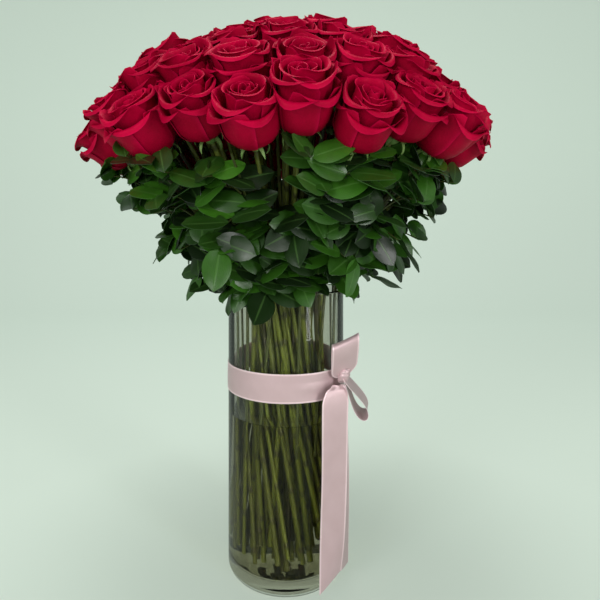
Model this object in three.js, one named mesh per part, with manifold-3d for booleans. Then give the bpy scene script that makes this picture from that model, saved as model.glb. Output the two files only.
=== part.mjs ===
// A round bunch of red roses with a collar of leafy sprays, standing in a glass cylinder of water that is
// tied with a satin ribbon. Millimetres, +Z up, the front of the bunch towards -Y. The origin is the centre
// of the vase's underside.
import * as THREE from "three";
import { mergeVertices } from "three/addons/utils/BufferGeometryUtils.js";
import Module from "manifold-3d";

const wasm = await Module();
wasm.setup();

// Driving dimensions
const GAP = 0.3; // between pieces that touch
const VASE_RADIUS = 63.5;
const VASE_HEIGHT = 305;
const GLASS_WALL = 3.5;
const GLASS_FLOOR = 16;
const HEEL_RADIUS = 11;
const INNER_HEEL_RADIUS = 9;
const VASE_SIDES = 32;
const WATER_LEVEL = 173;

const DOME_CENTRE_HEIGHT = 368; // the dome of blooms curves round this point on the vase's axis
const HEART_DISTANCE = 208; // from that point to the heart of a bloom
const EDGE_HEIGHT = 98; // from that point up to the hearts of the outermost blooms
const DOME_FLATNESS = 0.9; // height of the dome above the outermost hearts, as a share of a ball's
const UPRIGHT = 0.74; // how far a bloom leans out, as a share of its ring's tilt
const NOD_SCATTER = 4; // degrees
const RING_STEP = 12.4; // degrees between one ring of blooms and the next
const RING_TURN = 13; // degrees that each ring is turned against the one before it
const RING_COUNTS = [1, 6, 12, 17, 21, 24];
const BUNCH_SIZE = 3; // blooms in one node of a ring
const BLOOM_HEIGHT = 52;
const BLOOM_RADIUS = 32;
const BLOOM_SECTORS = 8;
const BLOOM_HEART = 0.58; // of its height, where a bloom is widest and is pressed from
const BLOOM_TURN = 0.7; // radians that each bloom is turned on from the one before it
const EDGE_ZIGZAG = 1.6; // degrees that the blooms of the last ring stand up and down
const TILT_SCATTER = 0.9; // degrees
const TURN_SCATTER = 0.08; // of the space between two blooms
const DEPTH_SCATTER = 4;
const SIZE_SCATTER = 0.06;

const STEM_RADIUS = 3;
const STEM_SIDES = 3;
const NECK_HEIGHT = 316; // where the stems, pressed together in the neck, start to spread
const NECK_RING_STEP = 8.8; // between rings of stems there
const FLOOR_RING_STEP = 9; // between rings of stems at the floor
const CORE_RADIUS = 42; // of the pressed middle of the bunch just above the rim
const CORE_BOTTOM = 307;
const CORE_HEIGHT = 5;
const STEM_TWIST = 62; // degrees that the stems turn between the rim and the floor
const STEM_TAPER = 0.9; // of the radius, where a stem reaches its bloom
const CALYX_RADIUS = 6.5;
const CALYX_HEIGHT = 7;
const FOOT_CLEARANCE = 0.4; // between a stem's cut foot and the glass floor

const SPRAY_COUNT = 12;
const SPRAY_STEM_RADIUS = 1.8;
const BRANCH_RADIUS = 1.3;
const LEAF_LENGTH = 60;
const LEAF_WIDTH = 41;
const LEAF_THICKNESS = 1.4;
const LEAF_ARCH = 4;
const LEAF_FOLD = 8;

const RIBBON_WIDTH = 29;
const RIBBON_THICKNESS = 0.8;
const BAND_BOTTOM = 197;

const UP = new THREE.Vector3(0, 0, 1);
const degrees = THREE.MathUtils.degToRad;

// A fixed scatter between -1 and 1 for the piece with this number; each kind of scatter has its own channel.
function scatter(index, channel) {
  const wave = Math.sin(index * 12.9898 + channel * 78.233 + 5.9) * 43758.5453;
  return 2 * (wave - Math.floor(wave)) - 1;
}

function polar(radius, angle, height) {
  return new THREE.Vector3(radius * Math.cos(angle), radius * Math.sin(angle), height);
}

// A closed surface through rings of points that run counter-clockwise round the way up. A ring of one point
// is a pole, and an open ring at either end is capped flat.
function skin(rings) {
  const triangles = [];
  const starts = [];
  let total = 0;
  for (const ring of rings) {
    starts.push(total);
    total += ring.length;
  }
  for (let level = 0; level + 1 < rings.length; level++) {
    const sides = Math.max(rings[level].length, rings[level + 1].length);
    for (let i = 0; i < sides; i++) {
      const next = (i + 1) % sides;
      const low = rings[level].length === 1 ? [starts[level]] : [starts[level] + i, starts[level] + next];
      const top = starts[level + 1];
      const high = rings[level + 1].length === 1 ? [top] : [top + i, top + next];
      if (low.length === 2) triangles.push(low[0], low[1], high[high.length - 1]);
      if (high.length === 2) triangles.push(low[0], high[1], high[0]);
    }
  }
  const last = rings.length - 1;
  for (let i = 1; i + 1 < rings[0].length; i++) triangles.push(0, i + 1, i);
  for (let i = 1; i + 1 < rings[last].length; i++) {
    triangles.push(starts[last], starts[last] + i, starts[last] + i + 1);
  }
  const geometry = new THREE.BufferGeometry();
  const places = rings.flat().flatMap((point) => point.toArray());
  geometry.setAttribute("position", new THREE.Float32BufferAttribute(places, 3));
  geometry.setIndex(triangles);
  return geometry;
}

// A regular polygon round a point, square to a direction.
function polygonRing(centre, direction, radius, sides, turn = 0) {
  const across = new THREE.Vector3(1, 0, 0).addScaledVector(direction, -direction.x).normalize();
  const aside = new THREE.Vector3().crossVectors(direction, across);
  return Array.from({ length: sides }, (_, i) => {
    const angle = (2 * Math.PI * i) / sides + turn;
    return centre
      .clone()
      .addScaledVector(across, radius * Math.cos(angle))
      .addScaledVector(aside, radius * Math.sin(angle));
  });
}

// A stem: a polygon carried along a line of points, with its own radius at each.
function stemGeometry(points, radii, sides, turn) {
  const rings = points.map((point, i) => {
    const direction = new THREE.Vector3().subVectors(points[Math.max(i, 1)], points[Math.max(i - 1, 0)]);
    return polygonRing(point, direction.normalize(), radii[i], sides, turn);
  });
  return skin(rings);
}

function solidOf(geometry) {
  const bare = geometry.clone();
  bare.deleteAttribute("normal");
  bare.deleteAttribute("uv");
  const merged = mergeVertices(bare, 1e-4);
  const mesh = new wasm.Mesh({
    numProp: 3,
    vertProperties: new Float32Array(merged.attributes.position.array),
    triVerts: new Uint32Array(merged.index.array),
  });
  return new wasm.Manifold(mesh);
}

function geometryOf(solid) {
  const mesh = solid.getMesh();
  const geometry = new THREE.BufferGeometry();
  geometry.setAttribute("position", new THREE.BufferAttribute(new Float32Array(mesh.vertProperties), 3));
  geometry.setIndex(new THREE.BufferAttribute(new Uint32Array(mesh.triVerts), 1));
  geometry.computeVertexNormals();
  return geometry;
}

function fuse(solids) {
  return solids.reduce((whole, solid) => whole.add(solid));
}

function largestBody(solid) {
  return solid.decompose().reduce((best, body) => (body.volume() > best.volume() ? body : best));
}

const part = new THREE.Group();

function addPiece(name, geometry, color, roughness, extra = {}) {
  const material = new THREE.MeshStandardMaterial({ color, roughness, metalness: 0, ...extra });
  const mesh = new THREE.Mesh(geometry, material);
  mesh.name = name;
  part.add(mesh);
}

// Vase: a turned cylinder with a thick floor and a rounded heel, outside and inside.
function arcPoints(centreX, centreY, radius, from, to, steps) {
  return Array.from({ length: steps + 1 }, (_, i) => {
    const angle = degrees(from + ((to - from) * i) / steps);
    return new THREE.Vector2(centreX + radius * Math.cos(angle), centreY + radius * Math.sin(angle));
  });
}

function turned(profile) {
  const geometry = new THREE.LatheGeometry(profile, VASE_SIDES);
  return geometryOf(solidOf(geometry.rotateX(Math.PI / 2)));
}

function vaseGeometry() {
  const inner = VASE_RADIUS - GLASS_WALL;
  const innerHeelX = inner - INNER_HEEL_RADIUS;
  return turned([
    new THREE.Vector2(0, 0),
    ...arcPoints(VASE_RADIUS - HEEL_RADIUS, HEEL_RADIUS, HEEL_RADIUS, -90, 0, 3),
    new THREE.Vector2(VASE_RADIUS, VASE_HEIGHT),
    new THREE.Vector2(inner, VASE_HEIGHT),
    ...arcPoints(innerHeelX, GLASS_FLOOR + INNER_HEEL_RADIUS, INNER_HEEL_RADIUS, 0, -90, 2),
    new THREE.Vector2(0, GLASS_FLOOR),
  ]);
}

// Where the blooms stand: rings round the top of a flattened ball, one bloom at the crown. Each leans out a
// little less than the ball's own surface does.
function bloomPlaces() {
  const places = [];
  RING_COUNTS.forEach((count, ring) => {
    for (let i = 0; i < count; i++) {
      const number = places.length;
      const zigzag = ring === RING_COUNTS.length - 1 ? (i % 2 ? EDGE_ZIGZAG : -EDGE_ZIGZAG) : 0;
      const tilt = ring ? degrees(ring * RING_STEP + zigzag + TILT_SCATTER * scatter(number, 1)) : 0;
      const turn = degrees((360 * (i + TURN_SCATTER * scatter(number, 2))) / count + RING_TURN * ring);
      const reach = HEART_DISTANCE + DEPTH_SCATTER * scatter(number, 3);
      const heart = polar(reach * Math.sin(tilt), turn, reach * Math.cos(tilt));
      heart.z = DOME_CENTRE_HEIGHT + EDGE_HEIGHT + (heart.z - EDGE_HEIGHT) * DOME_FLATNESS;
      const lean = UPRIGHT * tilt + degrees(NOD_SCATTER * scatter(number, 5));
      const axis = polar(Math.sin(lean), turn, Math.cos(lean));
      const foot = heart.clone().addScaledVector(axis, -BLOOM_HEART * BLOOM_HEIGHT);
      const size = 1 + SIZE_SCATTER * scatter(number, 4);
      places.push({ number, ring, place: i, turn, axis, foot, heart, size });
    }
  });
  return places;
}

// Whorls of a bloom from its foot to its centre, as shares of its radius and height. swing moves the petal
// tips out and the notches between them in, and lift moves the tips up; the inner whorl sits half a petal on.
const WHORLS = [
  { radius: 0.27, height: 0, swing: 0, lift: 0, phase: 0 },
  { radius: 0.83, height: 0.36, swing: 0.02, lift: 0, phase: 0 },
  { radius: 1.0, height: 0.7, swing: 0.06, lift: -0.035, phase: 0 },
  { radius: 0.68, height: 0.695, swing: -0.04, lift: -0.025, phase: 0 },
  { radius: 0.53, height: 0.9, swing: 0.07, lift: 0.02, phase: 1 },
];

function bloomRings(bloom) {
  const rings = WHORLS.map((whorl) => {
    const centre = bloom.foot.clone().addScaledVector(bloom.axis, BLOOM_HEIGHT * bloom.size * whorl.height);
    const ring = polygonRing(centre, bloom.axis, 1, BLOOM_SECTORS, BLOOM_TURN * bloom.number);
    return ring.map((point, i) => {
      const side = (i + whorl.phase) % 2 ? -1 : 1;
      const reach = BLOOM_RADIUS * bloom.size * (whorl.radius + side * whorl.swing);
      const outward = point.sub(centre).multiplyScalar(reach);
      return outward.add(centre).addScaledVector(bloom.axis, BLOOM_HEIGHT * side * whorl.lift);
    });
  });
  rings.push([bloom.foot.clone().addScaledVector(bloom.axis, BLOOM_HEIGHT * bloom.size)]);
  return rings;
}

// The blooms of a bunch hold together side by side, and those round the crown only to the crown.
function holdTogether(bloom, other) {
  return bunchName(bloom) === bunchName(other) && (bloom.ring > 1 || bloom.ring !== other.ring);
}

// Petals press flat against the next bloom: every point is drawn in towards the bloom's heart until it is
// on its own side of the plane halfway to each neighbour.
const PRESS_OVERLAP = 0.8; // how far blooms that hold together reach past that plane

function pressPetals(bloom, blooms) {
  const rings = bloomRings(bloom);
  for (const point of rings.flat()) {
    const arm = new THREE.Vector3().subVectors(point, bloom.heart);
    let share = 1;
    for (const other of blooms) {
      if (other === bloom) continue;
      const away = new THREE.Vector3().subVectors(other.heart, bloom.heart);
      const limit = away.length() / 2 + (holdTogether(bloom, other) ? PRESS_OVERLAP : -GAP / 2);
      const reach = arm.dot(away.normalize());
      if (reach > limit) share = Math.min(share, limit / reach);
    }
    point.copy(bloom.heart).addScaledVector(arm, share);
  }
  return skin(rings);
}

function bunchName(bloom) {
  if (bloom.ring <= 1) return "roses_crown";
  const bunch = Math.floor(bloom.place / BUNCH_SIZE) + 1;
  return "roses_ring" + bloom.ring + "_" + bunch;
}

function addBlooms(blooms) {
  const bunches = new Map();
  for (const bloom of blooms) {
    const name = bunchName(bloom);
    const solid = solidOf(pressPetals(bloom, blooms));
    bunches.set(name, [...(bunches.get(name) ?? []), solid]);
  }
  for (const [name, solids] of bunches) addPiece(name, geometryOf(fuse(solids)), "#b8062c", 0.6);
}

// Rose stems: straight from the floor of the vase to its neck, turning round its axis together, then straight
// out to the blooms. A small core joins them where they are pressed together.
function stemPoints(bloom) {
  const floorRadius = bloom.ring * FLOOR_RING_STEP;
  const floor = polar(floorRadius, bloom.turn + degrees(STEM_TWIST), GLASS_FLOOR + FOOT_CLEARANCE);
  const neck = polar(bloom.ring * NECK_RING_STEP, bloom.turn, NECK_HEIGHT);
  const calyx = bloom.foot.clone().addScaledVector(bloom.axis, -CALYX_HEIGHT);
  const top = bloom.foot.clone().addScaledVector(bloom.axis, -GAP);
  return [floor, neck, calyx, top];
}

function stemSolid(bloom, extra) {
  const [floor, neck, calyx, top] = stemPoints(bloom);
  const radius = STEM_RADIUS + extra;
  return solidOf(
    skin([
      polygonRing(floor.setZ(floor.z - extra), UP, radius, STEM_SIDES),
      polygonRing(neck, UP, radius, STEM_SIDES),
      polygonRing(calyx, bloom.axis, STEM_TAPER * radius, STEM_SIDES),
      polygonRing(top, bloom.axis, CALYX_RADIUS, STEM_SIDES),
    ]),
  );
}

function stemsSolid(blooms) {
  const core = turned([
    new THREE.Vector2(0, CORE_BOTTOM),
    new THREE.Vector2(CORE_RADIUS, CORE_BOTTOM),
    new THREE.Vector2(CORE_RADIUS, CORE_BOTTOM + CORE_HEIGHT),
    new THREE.Vector2(0, CORE_BOTTOM + CORE_HEIGHT),
  ]);
  return fuse([solidOf(core), ...blooms.map((bloom) => stemSolid(bloom, 0))]);
}

// Leafy sprays: a stem up the inside of the glass, over the rim and out under the roses, with a lower branch.
// Each keeps to its own sector of the collar. The leaves are larger than life, so that few of them cover it.
const SPRAY_SECTOR = Math.PI / SPRAY_COUNT;
const LEAF_OUTLINE = [
  [0, 0],
  [0.3, -0.47],
  [0.68, -0.36],
  [1, 0],
  [0.68, 0.36],
  [0.3, 0.47],
];
const LEAF_MIDDLE = 0.45; // along the leaf, where its fold is deepest
const FACE_LIFT = 0.5; // how far a leaf's face is turned up from straight out
const LEAF_TURN_SHARE = 0.8; // what a leaf keeps of its reach each time it is turned in
const SMALLEST_REACH = 0.02;
const LEAF_REACH = 0.8;
const REACH_SCATTER = 0.15;
const LEAN_SCATTER = 6; // degrees
const LEAF_SIZE_SCATTER = 0.05;

// A leaf: a pointed oval folded along its middle and arched down to its tip, its face turned out and up.
function leafRings(foot, direction, size) {
  const face = polar(1, Math.atan2(foot.y, foot.x), FACE_LIFT);
  const side = new THREE.Vector3().crossVectors(face, direction).normalize();
  const normal = new THREE.Vector3().crossVectors(direction, side).normalize();
  const at = (along, across, rise) =>
    foot
      .clone()
      .addScaledVector(direction, along * LEAF_LENGTH * size)
      .addScaledVector(side, across * LEAF_WIDTH * size)
      .addScaledVector(normal, rise - LEAF_ARCH * along * along);
  const edge = LEAF_OUTLINE.map(([along, across]) => at(along, across, LEAF_FOLD * Math.abs(across)));
  return [[at(LEAF_MIDDLE, 0, -LEAF_THICKNESS)], edge, [at(LEAF_MIDDLE, 0, 0)]];
}

// The way a leaf points: out from the vase by its lean, and for the rest sideways by its reach and then up or
// down, as its rise is 1 or -1.
function leafDirection(azimuth, reach, rise, lean) {
  const outward = polar(Math.sin(lean), azimuth, 0);
  const sideways = polar(Math.cos(lean) * reach, azimuth + Math.PI / 2, 0);
  return outward.add(sideways).addScaledVector(UP, Math.cos(lean) * rise * Math.sqrt(1 - reach * reach));
}

function fitsSector(points, azimuth) {
  return points.every((point) => {
    const off = Math.atan2(point.y, point.x) - azimuth;
    const wrapped = Math.atan2(Math.sin(off), Math.cos(off));
    const spare = GAP / Math.hypot(point.x, point.y);
    return Math.abs(wrapped) < SPRAY_SECTOR - spare;
  });
}

// The leaf is turned upright, a little at a time, until it is inside the sector.
function leafSolid(foot, azimuth, leaf) {
  const localAzimuth = Math.atan2(foot.y, foot.x);
  let reach = leaf.reach;
  let rings = leafRings(foot, leafDirection(localAzimuth, reach, leaf.rise, leaf.lean), leaf.size);
  while (!fitsSector(rings.flat(), azimuth)) {
    reach *= LEAF_TURN_SHARE;
    rings = leafRings(foot, leafDirection(localAzimuth, reach, leaf.rise, leaf.lean), leaf.size);
    if (Math.abs(reach) < SMALLEST_REACH) return null;
  }
  return solidOf(skin(rings));
}

// The stem of a spray and its lower branch, as [radius, height] points in the middle of its sector, and the
// leaves on each: where along it they grow, whether they point up or down, and the first and last lean in
// degrees and size.
const SPRAY_STEM = [
  [55.5, 138],
  [55.5, 300],
  [66, 334],
  [111, 376],
  [150, 414],
];
const LOWER_BRANCH = [
  [62, 320],
  [102, 338],
];
const LEAF_ROWS = [
  { line: SPRAY_STEM.slice(2), shares: [0.2, 0.97], rise: 1, leans: [50, 74], sizes: [0.9, 0.95] },
  { line: SPRAY_STEM.slice(2), shares: [0.3, 0.55, 0.75, 0.93], rise: -1, leans: [20, 40], sizes: [1, 0.9] },
  { line: LOWER_BRANCH, shares: [0.15, 0.6, 0.97], rise: -1, leans: [25, 50], sizes: [0.85, 1] },
];

function sprayLine(line, azimuth) {
  return line.map(([radius, height]) => polar(radius, azimuth, height));
}

function rowLeaves(row, azimuth, number) {
  const route = new THREE.CatmullRomCurve3(sprayLine(row.line, azimuth));
  const leaves = [];
  row.shares.forEach((share, i) => {
    const side = (number / 10 + i) % 2 ? 1 : -1;
    const leaf = {
      reach: side * (LEAF_REACH + REACH_SCATTER * scatter(number + i, 7)),
      rise: row.rise,
      lean: degrees(THREE.MathUtils.lerp(...row.leans, share) + LEAN_SCATTER * scatter(number + i, 8)),
      size: THREE.MathUtils.lerp(...row.sizes, share) + LEAF_SIZE_SCATTER * scatter(number + i, 9),
    };
    const solid = leafSolid(route.getPoint(share), azimuth, leaf);
    if (solid) leaves.push(solid);
  });
  return leaves;
}

function tube(points, radius) {
  return solidOf(stemGeometry(points, points.map(() => radius), STEM_SIDES, 0));
}

function spraySolid(index) {
  const azimuth = (index + 0.5) * 2 * SPRAY_SECTOR;
  const solids = [
    tube(sprayLine(SPRAY_STEM, azimuth), SPRAY_STEM_RADIUS),
    tube(sprayLine(LOWER_BRANCH, azimuth), BRANCH_RADIUS),
  ];
  LEAF_ROWS.forEach((row, order) => solids.push(...rowLeaves(row, azimuth, 100 * index + 10 * order)));
  return largestBody(fuse(solids));
}

// Water: a cylinder inside the glass with a plain hole for every stem that stands in it.
function waterSolid(blooms) {
  const radius = VASE_RADIUS - GLASS_WALL - GAP;
  const heel = INNER_HEEL_RADIUS - GAP;
  const bottom = GLASS_FLOOR + GAP;
  let water = solidOf(
    turned([
      new THREE.Vector2(0, bottom),
      ...arcPoints(radius - heel, bottom + heel, heel, -90, 0, 2),
      new THREE.Vector2(radius, WATER_LEVEL),
      new THREE.Vector2(0, WATER_LEVEL),
    ]),
  );
  const clearance = 2 * GAP; // a three-sided stem's corners stand twice as far out as its faces
  for (const bloom of blooms) water = water.subtract(stemSolid(bloom, clearance));
  for (let i = 0; i < SPRAY_COUNT; i++) {
    const azimuth = (i + 0.5) * 2 * SPRAY_SECTOR;
    const line = sprayLine(SPRAY_STEM.slice(0, 3), azimuth);
    line[0].z -= GAP;
    water = water.subtract(tube(line, SPRAY_STEM_RADIUS + clearance));
  }
  return largestBody(water);
}

// Ribbon: a band round the glass, a knot with two loops at the right of the front, and two hanging tails.
const KNOT_PLACE = new THREE.Vector3(59.5, -46, 220);
const KNOT_RADIUS = 8;
const SIDEWAYS = new THREE.Vector3(1, 0, 0);

function bandGeometry() {
  const inner = VASE_RADIUS + GAP;
  const outer = inner + RIBBON_THICKNESS;
  return turned([
    new THREE.Vector2(inner, BAND_BOTTOM),
    new THREE.Vector2(outer, BAND_BOTTOM),
    new THREE.Vector2(outer, BAND_BOTTOM + RIBBON_WIDTH),
    new THREE.Vector2(inner, BAND_BOTTOM + RIBBON_WIDTH),
    new THREE.Vector2(inner, BAND_BOTTOM),
  ]);
}

// A strip of ribbon along a line of points, its width along `across`. A slanted strip is cut off at an angle.
function stripSolid(points, across, widths, slant = 0) {
  const rings = points.map((point, i) => {
    const before = points[Math.max(i - 1, 0)];
    const after = points[Math.min(i + 1, points.length - 1)];
    const along = new THREE.Vector3().subVectors(after, before).normalize();
    const thick = new THREE.Vector3().crossVectors(along, across).setLength(RIBBON_THICKNESS / 2);
    const wide = across.clone().setLength(widths[i] / 2);
    if (i === points.length - 1) wide.addScaledVector(along, slant);
    return [
      point.clone().sub(wide).sub(thick),
      point.clone().add(wide).sub(thick),
      point.clone().add(wide).add(thick),
      point.clone().sub(wide).add(thick),
    ];
  });
  return solidOf(skin(rings));
}

// A loop: a strip that leaves the knot, turns round an oval and comes back to the knot.
const LOOP_STEPS = 7;

function loopSolid(reach, bulge, across) {
  const line = Array.from({ length: LOOP_STEPS + 1 }, (_, i) => {
    const angle = (2 * Math.PI * i) / LOOP_STEPS;
    const out = (1 - Math.cos(angle)) / 2;
    return KNOT_PLACE.clone().addScaledVector(reach, out).addScaledVector(bulge, 1.6 * out * Math.sin(angle));
  });
  const pinched = [KNOT_RADIUS, 0.7 * RIBBON_WIDTH];
  const widths = line.map((_, i) => pinched[Math.min(i, LOOP_STEPS - i)] ?? RIBBON_WIDTH);
  return stripSolid(line, across, widths);
}

function bowSolid() {
  const knot = new THREE.IcosahedronGeometry(KNOT_RADIUS, 0);
  const { x, y, z } = KNOT_PLACE;
  return fuse([
    solidOf(knot.translate(x, y, z)),
    loopSolid(new THREE.Vector3(-3, -14, 40), new THREE.Vector3(0, -8, 0), new THREE.Vector3(0.91, 0, 0.42)),
    loopSolid(new THREE.Vector3(20, 8, -46), new THREE.Vector3(7, 0, 4), new THREE.Vector3(0.15, 1, 0.1)),
  ]);
}

function frontTail() {
  const line = [
    new THREE.Vector3(55, -54.7, 213),
    new THREE.Vector3(49, -59, 196),
    new THREE.Vector3(47.5, -59, 120),
    new THREE.Vector3(46, -58.5, 60),
    new THREE.Vector3(44, -59, 18),
  ];
  return stripSolid(line, SIDEWAYS, [16, RIBBON_WIDTH, RIBBON_WIDTH, RIBBON_WIDTH, 0.85 * RIBBON_WIDTH], -7);
}

function backTail() {
  const line = [
    new THREE.Vector3(62, -33, 206),
    new THREE.Vector3(61.5, -29, 188),
    new THREE.Vector3(61.5, -28, 110),
    new THREE.Vector3(62, -28, 13),
  ];
  const alongGlass = new THREE.Vector3(0.42, 0.9, 0);
  return stripSolid(line, alongGlass, [10, 26, RIBBON_WIDTH, RIBBON_WIDTH], 4);
}

function addRibbon() {
  const pink = "#d9b8b4";
  addPiece("ribbon_band", bandGeometry(), pink, 0.35);
  addPiece("ribbon_bow", geometryOf(bowSolid()), pink, 0.35);
  addPiece("ribbon_tail_front", geometryOf(frontTail()), pink, 0.35);
  addPiece("ribbon_tail_back", geometryOf(backTail()), pink, 0.35);
}

const blooms = bloomPlaces();
addPiece("vase", vaseGeometry(), "#dfe9e6", 0.05, { transparent: true, opacity: 0.35 });
addPiece("water", geometryOf(waterSolid(blooms)), "#c9d6c8", 0.02, { transparent: true, opacity: 0.3 });
addPiece("rose_stems", geometryOf(stemsSolid(blooms)), "#5c6f2c", 0.6);
addBlooms(blooms);
for (let i = 0; i < SPRAY_COUNT; i++) {
  addPiece("leaf_spray_" + (i + 1), geometryOf(spraySolid(i)), "#2f5a22", 0.4);
}
addRibbon();

export default part;
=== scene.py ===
"""A round bunch of red roses in a glass cylinder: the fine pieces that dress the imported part.

Lengths in the classes are millimetres, as the part's own drawing has them, and become metres where a mesh is
written. +Z is up, the front of the bunch faces -Y, and the origin is the middle of the vase's underside.
"""

from __future__ import annotations

import logging
import math
from dataclasses import dataclass, field
from enum import Enum
from typing import Callable, Iterable, Sequence

import bpy
import numpy as np
from mathutils import Matrix, Vector

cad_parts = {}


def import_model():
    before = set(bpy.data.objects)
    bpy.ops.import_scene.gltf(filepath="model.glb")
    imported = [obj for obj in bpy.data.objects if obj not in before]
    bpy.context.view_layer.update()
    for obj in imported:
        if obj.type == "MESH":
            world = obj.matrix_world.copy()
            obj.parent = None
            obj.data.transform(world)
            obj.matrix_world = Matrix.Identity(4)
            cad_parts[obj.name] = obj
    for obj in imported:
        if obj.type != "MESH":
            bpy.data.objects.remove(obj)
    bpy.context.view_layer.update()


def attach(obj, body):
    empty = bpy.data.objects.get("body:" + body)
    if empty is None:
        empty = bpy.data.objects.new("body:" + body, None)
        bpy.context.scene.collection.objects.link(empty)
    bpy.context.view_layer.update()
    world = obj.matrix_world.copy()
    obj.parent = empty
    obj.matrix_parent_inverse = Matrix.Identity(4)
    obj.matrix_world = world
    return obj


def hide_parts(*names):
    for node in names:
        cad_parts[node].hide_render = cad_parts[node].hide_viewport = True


log = logging.getLogger("roses")

MM = 0.001
UP = Vector((0.0, 0.0, 1.0))

Points = tuple[tuple[float, float], ...]
Piece = bpy.types.Object
Material = bpy.types.Material
Socket = bpy.types.NodeSocket


class Slot(Enum):
    """The record's material slots."""

    GLASS = "glass"
    WATER = "water"
    STEM = "stem"
    PETAL = "petal"
    LEAF = "leaf"
    RIBBON = "ribbon"


class Held(Enum):
    """How a length of ribbon is held."""

    STRETCHED = "stretched"
    HUNG = "hung"
    FOLDED = "folded"


# Small tools for shapes


def scatter(index: float, channel: float) -> float:
    """Gives a scatter between -1 and 1, the same each time for a piece's number and a kind of scatter."""
    wave = math.sin(index * 12.9898 + channel * 78.233 + 5.9) * 43758.5453
    return 2 * (wave - math.floor(wave)) - 1


def polar(radius: float, angle: float, height: float) -> Vector:
    """Gives the point at a radius and an angle round the vase's axis, at a height."""
    return Vector((radius * math.cos(angle), radius * math.sin(angle), height))


def smooth(value: np.ndarray | float) -> np.ndarray | float:
    """Eases a share from 0 to 1, flat at both ends."""
    share = np.clip(value, 0.0, 1.0)
    return share * share * (3 - 2 * share)


def mix(low: float, high: float, share: float) -> float:
    """Gives the value a share of the way from low to high."""
    return low + (high - low) * share


def through(points: Sequence[Vector], count: int) -> list[Vector]:
    """Draws a smooth line through a few points.

    Args:
        points: The points it passes through, in order.
        count: How many points the line is drawn with.

    Returns:
        The points of the line, evenly spread by share of the way.
    """
    line = []
    last = len(points) - 1
    for step in range(count):
        place = step / (count - 1) * last
        index = min(int(place), last - 1)
        share = place - index
        before = points[index - 1] if index else points[0] * 2 - points[1]
        after = points[index + 2] if index + 2 <= last else points[last] * 2 - points[last - 1]
        start, end = points[index], points[index + 1]
        pull_in, pull_out = (end - before) * 0.5, (after - start) * 0.5
        square, cube = share**2, share**3
        line.append(
            start * (2 * cube - 3 * square + 1)
            + pull_in * (cube - 2 * square + share)
            + end * (3 * square - 2 * cube)
            + pull_out * (cube - square)
        )
    return line


def deselect() -> None:
    """Leaves object mode ready for a new piece, with nothing selected."""
    if bpy.context.object and bpy.context.object.mode != "OBJECT":
        bpy.ops.object.mode_set(mode="OBJECT")
    bpy.ops.object.select_all(action="DESELECT")


def pick(*pieces: Piece) -> Piece:
    """Selects only these pieces and makes the first one active.

    Returns:
        The active piece.
    """
    deselect()
    for piece in pieces:
        piece.select_set(True)
    bpy.context.view_layer.objects.active = pieces[0]
    return pieces[0]


def placed(name: str, data: bpy.types.ID) -> Piece:
    """Adds an object with this data to the scene."""
    piece = bpy.data.objects.new(name, data)
    bpy.context.scene.collection.objects.link(piece)
    return piece


def flat_grid(name: str, columns: int, rows: int) -> tuple[Piece, np.ndarray, np.ndarray]:
    """Adds a flat grid, ready to be shaped.

    Args:
        name: The piece's name.
        columns: Faces across.
        rows: Faces along.

    Returns:
        The grid, and each point's share across, from -1 to 1, and along, from 0 to 1.
    """
    deselect()
    bpy.ops.mesh.primitive_grid_add(x_subdivisions=columns, y_subdivisions=rows, size=2)
    piece = bpy.context.active_object
    piece.name = name
    flat = points_of(piece)
    return piece, flat[:, 0], (flat[:, 1] + 1) / 2


def points_of(piece: Piece) -> np.ndarray:
    """Reads a piece's points, one row of x, y and z for each, in metres."""
    places = np.empty(len(piece.data.vertices) * 3, np.float64)
    piece.data.vertices.foreach_get("co", places)
    return places.reshape(-1, 3)


def set_points(piece: Piece, places: np.ndarray) -> None:
    """Writes a piece's points, one row of x, y and z for each, in metres."""
    piece.data.vertices.foreach_set("co", np.ascontiguousarray(places, np.float64).ravel())
    piece.data.update()


def paint(piece: Piece, name: str, *channels: np.ndarray | float) -> None:
    """Keeps up to three shares for each point in a named colour attribute of the piece.

    Args:
        piece: The piece that carries them.
        name: The attribute's name, which a finish reads.
        channels: One value, or one for each point, for red, green and blue.
    """
    mesh = piece.data
    attribute = mesh.attributes.get(name) or mesh.attributes.new(name, "FLOAT_COLOR", "POINT")
    colours = np.ones((len(mesh.vertices), 4), np.float32)
    for index, channel in enumerate(channels):
        colours[:, index] = channel
    attribute.data.foreach_set("color", colours.ravel())


def repaint(piece: Piece, name: str, channel: int, value: float) -> None:
    """Changes one channel of a piece's colour attribute, all over.

    Args:
        piece: The piece.
        name: The attribute's name.
        channel: 0 for red, 1 for green or 2 for blue.
        value: The new share.
    """
    colours = np.empty(len(piece.data.vertices) * 4, np.float32)
    attribute = piece.data.attributes[name]
    attribute.data.foreach_get("color", colours)
    colours[channel::4] = value
    attribute.data.foreach_set("color", colours)


def modify(piece: Piece, kind: str, **settings: object) -> None:
    """Adds a modifier to a piece and applies it.

    Args:
        piece: The piece to change.
        kind: The modifier's type.
        settings: The modifier's settings by name.
    """
    pick(piece)
    modifier = piece.modifiers.new(kind.title(), kind)
    for name, value in settings.items():
        setattr(modifier, name, value)
    bpy.ops.object.modifier_apply(modifier=modifier.name)


def thicken(piece: Piece, thickness: float, **settings: object) -> None:
    """Gives a thin piece its thickness, in millimetres, half of it on each side."""
    modify(piece, "SOLIDIFY", thickness=thickness * MM, offset=0, **settings)


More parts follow.
